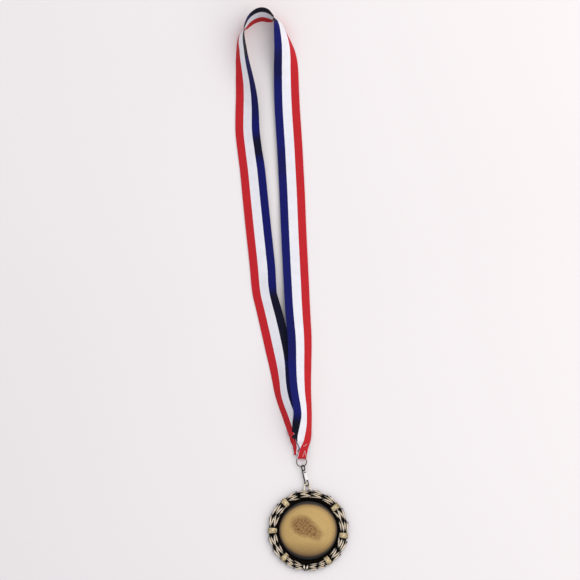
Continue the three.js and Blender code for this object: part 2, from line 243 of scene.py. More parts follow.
LEFT_STRAND = [
    station(-41.7, 226.5, EDGE, 236, 0, 93, 90, 91),
    station(-41.7, 221, EDGE, 264, 0, 84, 71, 81),
    station(-41.0, 215.7, EDGE, 275, 0, 78, 63, 76),
    station(-39.7, 209, EDGE, 278, 0, 66, 62, 72),
    station(-38.4, 202, EDGE, 279, 0, 56, 60, 68),
    station(-36.2, 193, EDGE, 280, 0, 42, 58, 62),
    station(-33.6, 182.7, EDGE, 279, 0, 20, 51, 57),
    station(-30.8, 169.6, EDGE, 277, 0, 8, 40, 44),
    station(-29.3, 156.5, EDGE, 275, 0, 5, 28, 33),
    station(-28.4, 139, EDGE, 275, 0, 6, 26, 18),
    station(-26.3, 121.7, EDGE, 275, 0, 6, 17, 22),
    station(-38.5, 104.3, SEAM, 276, 0, 6, 12, 10),
    station(-36.8, 86.9, SEAM, 276, 0, 6, 9, 9),
    station(-33.3, 52.1, SEAM, 276, 0, 5, 6, 6),
    station(-31.4, 34.6, SEAM, 276, 0, 5, 6, 6),
    station(-29.6, 17.2, SEAM, 276, 0, 5, 8, 8),
    station(-28.5, 4.2, SEAM, 277, 0, 6, 20, 10),
    station(-27.3, -4.5, SEAM, 280, 0, 8, 18, 28),
    station(-25.2, -13.2, SEAM, 282, 0, 10, 20, 20),
    station(-22.1, -26.3, SEAM, 282, 0, 8, 12, 8),
    station(-19.1, -39.4, SEAM, 282, 0, 6, 10, 4),
    station(-16.2, -52.4, SEAM, 280, 0, 8, 14, 2),
    station(-13.3, -65.5, SEAM, 276, 0, 14, 34, 0),
    station(-11.1, -78.5, SEAM, 272, 0, 26, 50, 0),
    station(-9.5, -91.6, SEAM, 270, 0, 42, 44, 4),
    station(-7.0, -100.3, SEAM, 270, 0, 44, 42, -6),
    station(-3.6, -109.0, SEAM, 270, 0, 40, 38, -24),
    station(-0.7, -117.7, SEAM, 270, 0, 42, 20, -44),
    station(0.6, -122.0, SEAM, 270, 0.1, 46, -10, -45),
    station(1.8, -126.4, SEAM, 270, 0.1, 51, -52, 0, ((11.0, 45), (17.5, -120))),
    station(2.6, -129.3, SEAM, 270, 0.2, 52, -72, 0, ((11.0, 74), (16.8, -176))),
    station(3.1, -132.5, SEAM, 270, 0.3, 54, -72, 0, ((10.8, 74), (16.0, -176))),
    station(3.9, -136.5, SEAM, 270, 0.6, 56, -60, 0, ((10.4, 62), (15.4, -176)), (1.6, -150)),
    station(3.5, -141.0, SEAM, 270, 1.3, 24, -6, 0, ((10.6, 6), (14.6, -178)), (4.9, -172)),
    station(3.6, -143.6, SEAM, 270, 1.5, 5, 0, 0, ((10.6, 0), (14.4, -178)), (4.9, -178)),
]
STATIONS = RIGHT_STRAND + NECK_ARCH + LEFT_STRAND
print(len(STATIONS), "stations,", WIDTH, "mm wide")

# %% [markdown]
# ## Smooth curves through the stations
# A curve that leaves each station in the direction of its two neighbours, and takes their
# spacing into account, passes through all of them without swinging past. Every column of
# the stations goes through the same curve, so tilt and fold change as softly as place does.

# %% Joining the stations
def through(stations, step):
    values = np.array(stations, float)
    gaps = np.linalg.norm(np.diff(values[:, :2], axis=0), axis=1)
    spots = np.concatenate([[0], np.cumsum(gaps)])
    slopes = np.gradient(values, spots, axis=0)
    count = round(spots[-1] / step)
    at = np.linspace(0, spots[-1], count + 1)
    left = np.clip(np.searchsorted(spots, at, side="right") - 1, 0, len(spots) - 2)
    span = (spots[left + 1] - spots[left])[:, None]
    t = ((at - spots[left]) / span[:, 0])[:, None]
    begin, end = values[left], values[left + 1]
    return ((2 * t**3 - 3 * t**2 + 1) * begin + (t**3 - 2 * t**2 + t) * span * slopes[left]
            + (3 * t**2 - 2 * t**3) * end + (t**3 - t**2) * span * slopes[left + 1])


ROW_STEP = 0.8

# %% [markdown]
# ## One row of the ribbon
# Across a row we walk from the red edge to the blue edge in tiny steps, turning by the
# tilt at each place. The turn is eased in over a few millimetres where two stripes meet,
# and over less than half a millimetre where the cloth is creased and folded under itself.

# %% Walking across a row
CREASE = 0.42
SOFT_TURN = 2.6
fine = np.linspace(0, WIDTH, 445)


def eased(place, width):
    t = np.clip((fine - place) / width + 0.5, 0, 1)
    return t * t * (3 - 2 * t)


def row_section(row, wander):
    thread = row[2]
    lift, red, white, fold, turn, fold2, turn2, fold3, turn3 = row[4:]
    crease = SOFT_TURN + (CREASE - SOFT_TURN) * min(abs(turn) / 120, 1) ** 2
    tilt = red + (white - red) * eased(RED, SOFT_TURN)
    tilt = tilt + turn * eased(fold, crease) + turn2 * eased(fold2, CREASE)
    tilt = np.radians(tilt + turn3 * (eased(fold3, CREASE) - 1) + wander)
    step = fine[1] - fine[0]
    middle_tilt = (tilt[1:] + tilt[:-1]) / 2
    across = np.concatenate([[0], np.cumsum(np.cos(middle_tilt))]) * step
    up = np.concatenate([[0], np.cumsum(np.sin(middle_tilt))]) * step
    beyond = thread - min(max(thread, 0), WIDTH)  # a smooth curve may swing past the edge
    across -= np.interp(thread, fine, across) + beyond * math.cos(tilt[-1])
    return across, up - up.min() + lift, tilt


def from_the_seam(row):
    """The same row, written down by the place of its seam thread, so that the curves
    don't jump where the stations change from one thread to another."""
    heading = math.radians(row[3])
    offset = np.interp(SEAM, fine, row_section(row, 0.0)[0])
    x, y = row[0] - math.sin(heading) * offset, row[1] + math.cos(heading) * offset
    return (x, y, SEAM, *row[3:])


rows = through([from_the_seam(np.array(row, float)) for row in STATIONS], ROW_STEP)
print(len(rows), "rows of threads")


def row_places(row):
    """Where the threads of a row are sampled: closely at the creases, evenly between."""
    fold, fold2, fold3 = row[7], row[9], row[11]
    half = CREASE / 2
    fold2 = max(fold2, fold + 2 * CREASE)
    creases = [np.linspace(f - half, f + half, 6) for f in (fold3, fold, fold2)]
    between = [
        np.linspace(0, fold3 - half, 3)[:-1],
        np.linspace(fold3 + half, fold - half, 12)[1:-1],
        np.linspace(fold + half, fold2 - half, 8)[1:-1],
        np.linspace(fold2 + half, WIDTH, 4)[1:],
    ]
    return np.concatenate([between[0], creases[0], between[1], creases[1], between[2],
                           creases[2], between[3]])


print(len(row_places(rows[0])), "threads in a row")

# %% [markdown]
# ## The wrap round the ring
# The first end is folded in three like a letter, starts behind, passes round the ring's wire
# and is sewn to itself. Its rows follow a U round the wire, with room for the ring to swing,
# and its lower edge dips at both sides because the wire curves away.

# %% Wrap rows
RING_CENTRE = Vector((8.1, -149.5, 2.55))
RING_RADIUS = 4.35
WRAP_ROOM = 1.4
WRAP_BEND_Y = -145.0
WRAP_TOP_Y = -138.0
BEND_FINENESS = 0.6  # rows lie closer together where the wrap bends
WRAP_HALF_WIDTH, DIP_SLACK = 3.8, 0.7


def wrap_route(step):
    """Points (y, z, angle) of the inner surface, from the sewn end behind to the front."""
    straight = np.arange(WRAP_TOP_Y, WRAP_BEND_Y, -step)
    back = [(y, RING_CENTRE.z - WRAP_ROOM, math.pi) for y in straight]
    turns = round(math.pi * WRAP_ROOM / (step * BEND_FINENESS))
    bend = []
    for k in range(turns):
        angle = math.pi * (1 - k / turns)
        bend.append((WRAP_BEND_Y - WRAP_ROOM * math.sin(angle),
                     RING_CENTRE.z + WRAP_ROOM * math.cos(angle), angle))
    return back + bend


def dip(x, weight):
    aside = min(abs(x - RING_CENTRE.x), WRAP_HALF_WIDTH)
    drop = RING_RADIUS - math.sqrt(RING_RADIUS**2 - aside**2)
    return weight * max(drop - DIP_SLACK, 0)


wrap = wrap_route(ROW_STEP)
print(len(wrap), "rows in the wrap")

# %% [markdown]
# ## The ribbon as one closed sheet
# Each row gives a front and a back thread line, half a thickness either way, and the rows
# are knitted into one closed strip. The edges go in and out a little, as the weft does
# where it turns back. A UV map keeps the distance across and along for the weave.

# %% Knit the rows
STRAND_THICKNESS = 0.46
FOLD_THICKNESS = 0.2
THIN_UNTIL_Y, THICKEN_OVER = -139.0, 14.0
WANDER_DEGREES = 1.4  # cloth is never quite straight
CALM_UNTIL_Y, WANDER_OVER = -125, 25
DIP_FROM_Y, DIP_OVER = -140.5, 4


def averaged(values, count):
    return np.convolve(values, np.ones(count) / count, "same")


rng = np.random.default_rng(7)
wander_at = np.cumsum(rng.normal(0, 1, len(rows)))
wander_at = averaged(wander_at - averaged(wander_at, 301), 45)
wander_at *= WANDER_DEGREES / abs(wander_at).max()


def share_of(value, start, length):
    """0 before start, 1 after start + length, and evenly between."""
    return min(max((value - start) / length, 0), 1)


def thickness_at(y):
    share = share_of(y, THIN_UNTIL_Y, THICKEN_OVER)
    return FOLD_THICKNESS + (STRAND_THICKNESS - FOLD_THICKNESS) * share


def ribbon_rows():
    made = []
    first = rows[0]
    places = row_places(first)
    across, up, tilt = row_section(first, 0)
    left = Vector((-1, 0, 0))
    for y, z, angle in wrap:
        out = Vector((0, -math.sin(angle), math.cos(angle)))
        weight = share_of(-y, -DIP_FROM_Y, DIP_OVER)
        line = []
        for u in places:
            a, b = np.interp(u, fine, across), np.interp(u, fine, up) - first[4]
            lean = np.interp(u, fine, tilt)
            at = Vector((first[0], y, z)) + left * a + out * (b + FOLD_THICKNESS / 2)
            at.y -= dip(at.x, weight)
            line.append((at, -left * math.sin(lean) + out * math.cos(lean), u))
        made.append((line, FOLD_THICKNESS))
    for number, row in enumerate(rows):
        fade = share_of(row[1], CALM_UNTIL_Y, WANDER_OVER)
        across, up, tilt = row_section(row, wander_at[number] * fade)
        angle = math.radians(row[3])
        left = Vector((-math.sin(angle), math.cos(angle), 0))
        thick = thickness_at(row[1])
        is_wrapped_end = number < len(rows) / 2
        weight = share_of(-row[1], -DIP_FROM_Y, DIP_OVER) if is_wrapped_end else 0
        line = []
        for u in row_places(row):
            a, b = np.interp(u, fine, across), np.interp(u, fine, up)
            lean = np.interp(u, fine, tilt)
            at = Vector((row[0], row[1], 0)) + left * a + Vector((0, 0, b + thick / 2))
            at.y -= dip(at.x, weight)
            line.append((at, -left * math.sin(lean) + Vector((0, 0, math.cos(lean))), u))
        made.append((line, thick))
    return made


knitted = ribbon_rows()
along = [0.0]
for (before, _), (after, _) in zip(knitted, knitted[1:]):
    along.append(along[-1] + (after[len(after) // 2][0] - before[len(before) // 2][0]).length)

# %% [markdown]
# ## Painted shade on the navy
# The warp threads lie all one way, like hair, so a stripe loses its shine where it leans
# away from the window; that loss is painted into the navy as near black, a painted shade.
# Those stretches are marked with a number on each row, which the cloth's finish reads as an
# attribute.

# %% Painted shade on the navy
# (strand, from y, to y, how dark the painted shade is): strand 0 is the right one, 1 the arch, 2
# the left one.
SHADED_NAVY_STRETCHES = [
    (0, -134, -111, 1.0), (0, 183, 208, 0.5), (0, -60, -20, 0.2), (0, 100, 122, 0.3),
    (1, 225, 250, 1.0), (2, 200, 230, 1.0), (2, 150, 200, 0.35), (2, 114, 133, 0.9),
    (2, -64, -3, 0.95), (2, -110, -64, 0.7),
]
NAVY_SHADE_FADE = 9.0
ARCH_FROM_Y = 233


# How dark a row's navy is painted for the shade it leans into.
def navy_shade_at(number):
    number -= len(wrap)
    if number < 0:
        return 0.0
    y = rows[number][1]
    strand = 1 if y > ARCH_FROM_Y else (0 if number < len(rows) / 2 else 2)
    navy_shade_amount = 0.0
    for which, low, high, amount in SHADED_NAVY_STRETCHES:
        if which == strand:
            inside = min(y - low, high - y) / NAVY_SHADE_FADE + 0.5
            navy_shade_amount = max(navy_shade_amount, amount * min(max(inside, 0), 1))
    return navy_shade_amount


print(len(SHADED_NAVY_STRETCHES), "deep stretches")

# %% Make the strip
PICOT = 0.07  # how far the weft's turns stand out at the edges


def knit_strip(name, knitted, along):
    points, marks, faces = [], [], []
    count = len(knitted[0][0])
    for number, (line, thick) in enumerate(knitted):
        nudge = PICOT * (-1) ** number
        for side in (1, -1):
            for k, (at, out, u) in enumerate(line):
                spot = at + out * (side * thick / 2)
                if k in (0, count - 1) and 0 < number < len(knitted) - 1:
                    inner = line[1][0] if k == 0 else line[-2][0]
                    spot = spot + (at - inner).normalized() * nudge
                points.append(spot * MM)
                marks.append((u * MM, along[number] * MM))
    ring = 2 * count
    for number in range(len(knitted) - 1):
        base, above = number * ring, (number + 1) * ring
        for k in range(count - 1):
            faces.append((base + k + 1, base + k, above + k, above + k + 1))
            faces.append((base + count + k, base + count + k + 1,
                          above + count + k + 1, above + count + k))
        faces.append((base, base + count, above + count, above))
        faces.append((base + 2 * count - 1, base + count - 1, above + count - 1,
                      above + 2 * count - 1))
    last = (len(knitted) - 1) * ring
    for k in range(count - 1):
        faces.append((k, k + 1, count + k + 1, count + k))
        faces.append((last + k + 1, last + k, last + count + k, last + count + k + 1))
    mesh = bpy.data.meshes.new(name)
    mesh.from_pydata([tuple(p) for p in points], [], faces)
    layer = mesh.uv_layers.new(name="weave")
    for loop in mesh.loops:
        layer.data[loop.index].uv = marks[loop.vertex_index]
    # Each row carries how dark its navy is painted as shade.
    depth = mesh.attributes.new("navy_painted_shade", "FLOAT", "POINT")
    for number in range(len(knitted)):
        navy_shade_amount = navy_shade_at(number)
        for k in range(ring):
            depth.data[number * ring + k].value = navy_shade_amount
    mesh.update()
    strip = bpy.data.objects.new(name, mesh)
    bpy.context.scene.collection.objects.link(strip)
    return strip


def face_outwards(piece):
    shell = bmesh.new()
    shell.from_mesh(piece.data)
    if shell.calc_volume(signed=True) < 0:
        bmesh.ops.reverse_faces(shell, faces=shell.faces)
    shell.to_mesh(piece.data)
    shell.free()


ribbon = knit_strip("neck_ribbon", knitted, along)
face_outwards(ribbon)
bpy.ops.object.select_all(action="DESELECT")
ribbon.select_set(True)
bpy.context.view_layer.objects.active = ribbon
bpy.ops.object.shade_smooth_by_angle(angle=math.radians(50))
print("ribbon triangles", 2 * len(ribbon.data.polygons))

# %% [markdown]
# ## Woven cloth
# The stripes are dyed warp threads, so their colour depends on how far across the strip a
# place is, and the navy also takes the painted shade marked on the rows. A rib of weft shows
# as fine ridges across, less than a millimetre apart, with the warp crossing them; the
# stripes meet in a ragged line half a thread wide.

# %% Ribbon cloth
ribbon_cloth, tree, shader = finish_tree("striped_grosgrain", roughness=0.62, sheen_weight=0.03,
                                         sheen_roughness=0.4, specular_ior_level=0.12)
weave = add(tree, "UVMap", uv_map="weave").outputs["UV"]
split = add(tree, "SeparateXYZ", {"Vector": weave})
across, along_it = split.outputs["X"], split.outputs["Y"]
ragged = add(tree, "TexNoise", {"Vector": weave, "Scale": 2600.0, "Detail": 1.0}).outputs["Fac"]
shifted = math_node(tree, "ADD", across, math_node(tree, "MULTIPLY", ragged, 0.0004))
share = math_node(tree, "DIVIDE", math_node(tree, "SUBTRACT", shifted, 0.0002), WIDTH * MM)
red_share, white_share = RED / WIDTH, (RED + WHITE) / WIDTH
stripes = ramp(tree, share, [
    (0, srgb(196, 34, 42)), (red_share, srgb(238, 236, 241)), (white_share, srgb(12, 16, 98)),
], "CONSTANT")
# Painted shade: where rows are marked, the navy stripe is mixed towards near black.
depth = add(tree, "Attribute", attribute_name="navy_painted_shade").outputs["Fac"]
navy = ramp(tree, share, [(0, (0, 0, 0, 1)), (white_share, (1, 1, 1, 1))], "CONSTANT")
navy_shade_share = math_node(tree, "MULTIPLY", depth, navy)
stripes = add(tree, "MixRGB", {"Fac": navy_shade_share, "Color1": stripes,
                               "Color2": srgb(10, 10, 30)}).outputs["Color"]
uneven = add(tree, "TexNoise", {"Vector": weave, "Scale": 90.0, "Detail": 3.0}).outputs["Fac"]
ribs = add(tree, "TexWave", {"Vector": weave, "Scale": 330.0, "Distortion": 0.4,
                             "Detail Scale": 4.0}, bands_direction="Y").outputs["Fac"]
warp = add(tree, "TexWave", {"Vector": weave, "Scale": 520.0, "Distortion": 0.2},
           bands_direction="X").outputs["Fac"]
shade = ramp(tree, ribs, [(0.0, (0.82, 0.82, 0.82, 1)), (0.6, (1, 1, 1, 1))])
ribbed = add(tree, "MixRGB", {"Fac": 1.0, "Color1": stripes, "Color2": shade},
             blend_type="MULTIPLY").outputs["Color"]
tone = ramp(tree, uneven, [(0.3, (0.93, 0.93, 0.93, 1)), (0.7, (1, 1, 1, 1))])
toned = add(tree, "MixRGB", {"Fac": 1.0, "Color1": ribbed, "Color2": tone},
            blend_type="MULTIPLY").outputs["Color"]
tree.links.new(toned, shader.inputs["Base Color"])
threads = math_node(tree, "ADD", ribs, math_node(tree, "MULTIPLY", warp, 0.45))
bump = add(tree, "Bump", {"Strength": 0.55, "Distance": 0.00012, "Height": threads})
tree.links.new(bump.outputs["Normal"], shader.inputs["Normal"])
ribbon.data.materials.append(ribbon_cloth)
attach(ribbon, "ribbon")
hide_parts("ribbon_right_strand", "ribbon_neck_arch", "ribbon_left_strand",
            "ribbon_folded_end")
print("cloth on", ribbon.name)

# %% [markdown]
# ## The medallion's casting
# The real medallion is cast in one: a round plate with a dished recess, a raised wreath and
# a bail. We start from a cylinder, then inset and push faces of its top down to make the
# lip, the dark groove and the flat seat, as a turner would cut them.

# %% Plate
medal_low, medal_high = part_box("medallion_casting")
MEDAL_RADIUS = (medal_high.x - medal_low.x) / 2
MEDAL_CENTRE = Vector((medal_low.x + MEDAL_RADIUS, medal_low.y + MEDAL_RADIUS, 0))
MEDAL_TOP = medal_high.z
print("medallion radius", round(MEDAL_RADIUS / MM, 2), "mm, top", round(MEDAL_TOP / MM, 2))


def select_faces(test):
    bpy.ops.object.mode_set(mode="OBJECT")
    piece = bpy.context.object
    for vertex in piece.data.vertices:
        vertex.select = False
    for edge in piece.data.edges:
        edge.select = False
    for face in piece.data.polygons:
        face.select = bool(test(face))
    bpy.ops.object.mode_set(mode="EDIT")
    bpy.ops.mesh.select_mode(type="FACE")


def cut_ring(inwards, height):
    """Insets the selected flat face and moves what is left up or down."""
    bpy.ops.mesh.inset(thickness=inwards, depth=0)
    bpy.ops.transform.translate(value=(0, 0, height))


PLATE_HEIGHT = 2.9 * MM
bpy.ops.object.select_all(action="DESELECT")
bpy.ops.mesh.primitive_cylinder_add(vertices=160, radius=MEDAL_RADIUS - 0.9 * MM,
                                    depth=PLATE_HEIGHT,
                                    location=MEDAL_CENTRE + Vector((0, 0, PLATE_HEIGHT / 2)))
plate = bpy.context.object
plate.name = "medallion"
select_faces(lambda face: face.normal.z > 0.9)
cut_ring(6.6 * MM, 0.3 * MM)      # the wreath's bed, rising to the lip
cut_ring(0.5 * MM, -0.5 * MM)     # the lip's inner side
cut_ring(0.7 * MM, -1.1 * MM)     # down into the groove
cut_ring(0.7 * MM, 0.0)           # groove floor
cut_ring(0.35 * MM, 0.2 * MM)     # up to the seat
select_faces(lambda face: face.normal.z < -0.9)
cut_ring(0.5 * MM, 0.0)
cut_ring(1.2 * MM, 0.15 * MM)
bpy.ops.object.mode_set(mode="OBJECT")
flat_tops = [face.center.z for face in plate.data.polygons if face.normal.z > 0.9]
print("seat height", round(min(flat_tops) / MM, 2))

# %% [markdown]
# ## Antique gold
# The plate was plated gold and left with a dark patina in its low places. The seat is
# satin gold, browner towards the lower rim and stained in one long patch; the groove round it
# is nearly black. Towards the groove the seat darkens to near black, more at the top and the
# bottom: patina in the corner, with a painted reflection of dark surroundings at top and bottom.

# %% Seat, groove and wreath finishes
def brushed(tree, place, scale):
    return add(tree, "TexNoise", {"Vector": place, "Scale": scale, "Detail": 5.0,
                                  "Roughness": 0.6}).outputs["Fac"]


seat_gold, tree, shader = finish_tree("satin_gold_seat", metallic=0.2, roughness=0.6)
place = add(tree, "TexCoord").outputs["Object"]
centred = add(tree, "Mapping", {"Vector": place,
                                "Location": (-MEDAL_CENTRE.x, -MEDAL_CENTRE.y, 0)})
# Squashed up and down so that the dark edge reaches further in at top and bottom: painted
# reflection.
reflection_squash = add(tree, "VectorMath", {0: centred.outputs["Vector"], 1: (1.0, 1.07, 0.0)},
              operation="MULTIPLY").outputs["Vector"]
radius = add(tree, "VectorMath", {0: reflection_squash}, operation="LENGTH").outputs["Value"]
SEAT_RADIUS = 25.4 * MM
rim_share = math_node(tree, "DIVIDE", radius, SEAT_RADIUS)
grain = brushed(tree, place, 900.0)
wobble = add(tree, "TexNoise", {"Vector": place, "Scale": 60.0, "Detail": 3.0}).outputs["Fac"]
soft_share = math_node(tree, "ADD", rim_share,
                       math_node(tree, "MULTIPLY", math_node(tree, "SUBTRACT", wobble, 0.5), 0.05))
# Darkening to near black at the seat's edge: patina in the corner, partly painted reflection.
gold = ramp(tree, soft_share, [(0.0, srgb(198, 166, 104)), (0.8, srgb(194, 160, 98)),
                               (0.91, srgb(165, 134, 82)), (0.965, srgb(98, 74, 46)),
                               (1.0, srgb(24, 19, 16))])
height_on_seat = add(tree, "SeparateXYZ", {"Vector": centred.outputs["Vector"]}).outputs["Y"]
low_share = math_node(tree, "DIVIDE", height_on_seat, SEAT_RADIUS)
lower = add(tree, "MapRange", {"Value": low_share, "From Min": -1.0, "From Max": -0.35})
lower_tone = ramp(tree, lower.outputs["Result"],
                  [(0.0, (0.36, 0.28, 0.24, 1)), (1.0, (1, 1, 1, 1))])
gold = add(tree, "MixRGB", {"Fac": 1.0, "Color1": gold, "Color2": lower_tone},
           blend_type="MULTIPLY").outputs["Color"]
fleck = add(tree, "TexNoise", {"Vector": place, "Scale": 1500.0, "Detail": 3.0}).outputs["Fac"]
fleck_tone = ramp(tree, fleck, [(0.3, (0.84, 0.83, 0.8, 1)), (0.65, (1.05, 1.05, 1.05, 1))])
gold = add(tree, "MixRGB", {"Fac": 1.0, "Color1": gold, "Color2": fleck_tone},
           blend_type="MULTIPLY").outputs["Color"]
STAIN_CENTRE = Vector((12.4, -207.2, 0)) * MM
STAIN_HALF_LENGTH, STAIN_HALF_WIDTH, STAIN_TURN = 17.0 * MM, 9.6 * MM, 28
off_stain = add(tree, "VectorMath", {0: place, 1: STAIN_CENTRE},
                operation="SUBTRACT").outputs["Vector"]
turned = add(tree, "VectorRotate", {"Vector": off_stain, "Angle": math.radians(STAIN_TURN)},
             rotation_type="Z_AXIS").outputs["Vector"]
stretched = add(tree, "VectorMath", {0: turned,
                                     1: (1 / STAIN_HALF_LENGTH, 1 / STAIN_HALF_WIDTH, 0)},
                operation="MULTIPLY").outputs["Vector"]
stain_reach = add(tree, "VectorMath", {0: stretched}, operation="LENGTH").outputs["Value"]
blotch = add(tree, "TexNoise", {"Vector": place, "Scale": 650.0, "Detail": 5.0,
                                "Roughness": 0.65}).outputs["Fac"]
ragged_reach = math_node(tree, "ADD", stain_reach,
                         math_node(tree, "MULTIPLY", math_node(tree, "SUBTRACT", wobble, 0.5), 0.8))
inside = ramp(tree, ragged_reach, [(0.55, (1, 1, 1, 1)), (1.05, (0, 0, 0, 1))])
speckled = ramp(tree, blotch, [(0.36, (0.4, 0.4, 0.4, 1)), (0.6, (1, 1, 1, 1))])
stain = add(tree, "MixRGB", {"Fac": 1.0, "Color1": inside, "Color2": speckled},
            blend_type="MULTIPLY").outputs["Color"]
stained = add(tree, "MixRGB", {"Fac": stain, "Color1": gold, "Color2": srgb(116, 74, 26)})
tree.links.new(stained.outputs["Color"], shader.inputs["Base Color"])
rough = add(tree, "MapRange", {"Value": grain, "To Min": 0.52, "To Max": 0.68}).outputs["Result"]
tree.links.new(rough, shader.inputs["Roughness"])
bump = add(tree, "Bump", {"Strength": 0.25, "Distance": 0.00004, "Height": grain})
tree.links.new(bump.outputs["Normal"], shader.inputs["Normal"])

groove_black, tree, shader = finish_tree("black_patina", metallic=0.0, roughness=0.8,
                                         specular_ior_level=0.0)
place = add(tree, "TexCoord").outputs["Object"]
blotch = brushed(tree, place, 420.0)
tree.links.new(ramp(tree, blotch, [(0.35, srgb(7, 6, 6)), (0.75, srgb(22, 18, 15))]),
               shader.inputs["Base Color"])


def worn_metal(name, low, high, dark, light, roughness):
    """Bright where it stands proud and is rubbed, dark where the patina stayed."""
    material, tree, shader = finish_tree(name, metallic=0.6, roughness=roughness)
    place = add(tree, "TexCoord").outputs["Object"]
    height = add(tree, "SeparateXYZ", {"Vector": place}).outputs["Z"]
    speckle = brushed(tree, place, 700.0)
    lifted = math_node(tree, "ADD", height,
                       math_node(tree, "MULTIPLY", math_node(tree, "SUBTRACT", speckle, 0.5),
                                 1.1 * (high - low)))
    proud = add(tree, "MapRange", {"Value": lifted, "From Min": low, "From Max": high})
    tree.links.new(ramp(tree, proud.outputs["Result"], [(0.15, dark), (0.7, light), (1.0, light)]),
                   shader.inputs["Base Color"])
    bump = add(tree, "Bump", {"Strength": 0.3, "Distance": 0.00006, "Height": speckle})
    tree.links.new(bump.outputs["Normal"], shader.inputs["Normal"])
    return material


leaf_metal = worn_metal("rubbed_leaf_bronze", 3.5 * MM, 4.2 * MM, srgb(12, 10, 9),
                        srgb(238, 224, 204), 0.3)
band_gold = worn_metal("rubbed_band_gold", 3.35 * MM, 4.05 * MM, srgb(66, 48, 28),
                       srgb(240, 216, 168), 0.28)
bail_bronze = worn_metal("bail_bronze", 1.4 * MM, 2.5 * MM, srgb(30, 25, 22),
                         srgb(232, 216, 190), 0.28)
GROOVE, SEAT, LEAF, BAND, BAIL = range(5)
for material in (groove_black, seat_gold, leaf_metal, band_gold, bail_bronze):
    plate.data.materials.append(material)
for face in plate.data.polygons:
    reach = (plate.matrix_world @ face.center - MEDAL_CENTRE).xy.length
    is_seat = face.normal.z > 0.9 and reach < 10 * MM
    face.material_index = SEAT if is_seat else (BAND if face.normal.z < -0.5 else GROOVE)
print("plate finishes", [m.name for m in plate.data.materials])

# %% [markdown]
# ## One leaf, then a wreath of them
# A laurel leaf is a slim boat shape with a ridge along its middle. One sphere, turned so
# that its poles become the tips and pinched there, makes the leaf; copies of it are laid
# along the rim, bent to its curve and splayed a little in or out.

# %% The leaf
def leaf_shape():
    bpy.ops.object.select_all(action="DESELECT")
    bpy.ops.mesh.primitive_uv_sphere_add(segments=12, ring_count=10, radius=1)
    leaf = bpy.context.object
    leaf.name = "leaf"
    bpy.ops.object.mode_set(mode="EDIT")
    bpy.ops.mesh.select_all(action="SELECT")
    bpy.ops.transform.rotate(value=math.pi / 2, orient_axis="Y", center_override=(0, 0, 0))
    bpy.ops.object.mode_set(mode="OBJECT")
    for vertex in leaf.data.vertices:
        length_share = abs(vertex.co.x)
        vertex.select = False
        pinch = 1 - 0.45 * length_share**1.5
        ridge = 1 + 0.35 * math.exp(-((vertex.co.y * 4) ** 2))
        vertex.co.y *= pinch
        vertex.co.z *= pinch * ridge
    return leaf


leaf = leaf_shape()
print("leaf faces", len(leaf.data.polygons))

# %% Lay the leaves
def lay_on_rim(master, angle, reach, length, width, height, splay, base, finish):
    """A copy of the master bent along the rim; angles in degrees, sizes in millimetres."""
    copy = bpy.data.objects.new("on_rim", master.data.copy())
    bpy.context.scene.collection.objects.link(copy)
    lean = math.radians(splay)
    for vertex in copy.data.vertices:
        x, y, z = vertex.co.x * length / 2, vertex.co.y * width / 2, vertex.co.z * height
        run = x * math.cos(lean) - y * math.sin(lean)
        out = reach + x * math.sin(lean) + y * math.cos(lean)
        turn = math.radians(angle) + run / reach
        spot = Vector((out * math.cos(turn), out * math.sin(turn), base + z))
        vertex.co = MEDAL_CENTRE + spot * MM
    copy.data.materials.clear()
    for material in plate.data.materials:
        copy.data.materials.append(material)
    for face in copy.data.polygons:
        face.material_index = finish
    return copy


RIGHT_BANDS, LEFT_BANDS = (-56.8, -8, 40.6), (129.6, 180, 228.5)
BAND_ANGLES = RIGHT_BANDS + LEFT_BANDS
WREATH_TOP, WREATH_TIE, TOP_OVERLAP = 86, 266, 5
WREATH_REACH, OVERLAP = 31, 0.48  # middle of the rim, and a cluster's share of its gap
LEAF_BASE = 3.1
LEAF_ROWS = ((28.4, 1.8), (30.3, 2.0), (32.2, 2.0), (34.0, 1.8))
BLACK_BAND_FROM = 0.8  # near the top and the bottom the wreath leaves its inner bed bare
rng = np.random.default_rng(21)
leaves = []


def lay_cluster(angle, direction, spread, crossing):
    steep = abs(math.sin(math.radians(angle))) > BLACK_BAND_FROM
    for number, (reach, width) in enumerate(LEAF_ROWS):
        if steep:
            reach, width = reach + 1.2 - 0.3 * number, width * 0.85
        offset = rng.uniform(-1.3, 1.3) + (1.6, 0.2, -0.6, -1.8)[number] * direction
        splay = (number - 1.5) * 4 + crossing * (5, -7, 6, -4)[number] + rng.uniform(-5, 5)
        length = rng.uniform(0.85, 1.15) * spread
        leaves.append(lay_on_rim(leaf, angle + offset, reach, length, width,
                                 rng.uniform(0.85, 1.05), splay * direction,
                                 LEAF_BASE + 0.15 * (number % 2), LEAF))
    for edge, lean in ((34.3, 26), (28.0, -24)):
        if not (steep and edge < 30):
            leaves.append(lay_on_rim(leaf, angle + rng.uniform(-3, 5) * direction, edge,
                                     spread * 0.45, 1.5, 0.7, lean * direction, 3.0, LEAF))


BRANCHES = {
    1: (WREATH_TIE - 360, *RIGHT_BANDS, WREATH_TOP + TOP_OVERLAP),
    -1: (WREATH_TOP - TOP_OVERLAP, *LEFT_BANDS, WREATH_TIE),
}
for side, stops in BRANCHES.items():
    for first, second in zip(stops, stops[1:]):
        gap = second - first
        for part, crossing in ((0.3, 1), (0.7, -1)):
            spread = math.radians(gap) * WREATH_REACH * OVERLAP
            lay_cluster(first + gap * part, side, spread, crossing)
print(len(leaves), "leaves")

# %% [markdown]
# ## Wrapped bands, the tie and the bail
# Six bands hold the wreath. Each is a rounded strap across the rim with two grooves and a
# small stud. A cube is bevelled and cut across with bisects, and the strips between are
# pushed down. The bail is a round wire spun through half a turn, with straight legs.

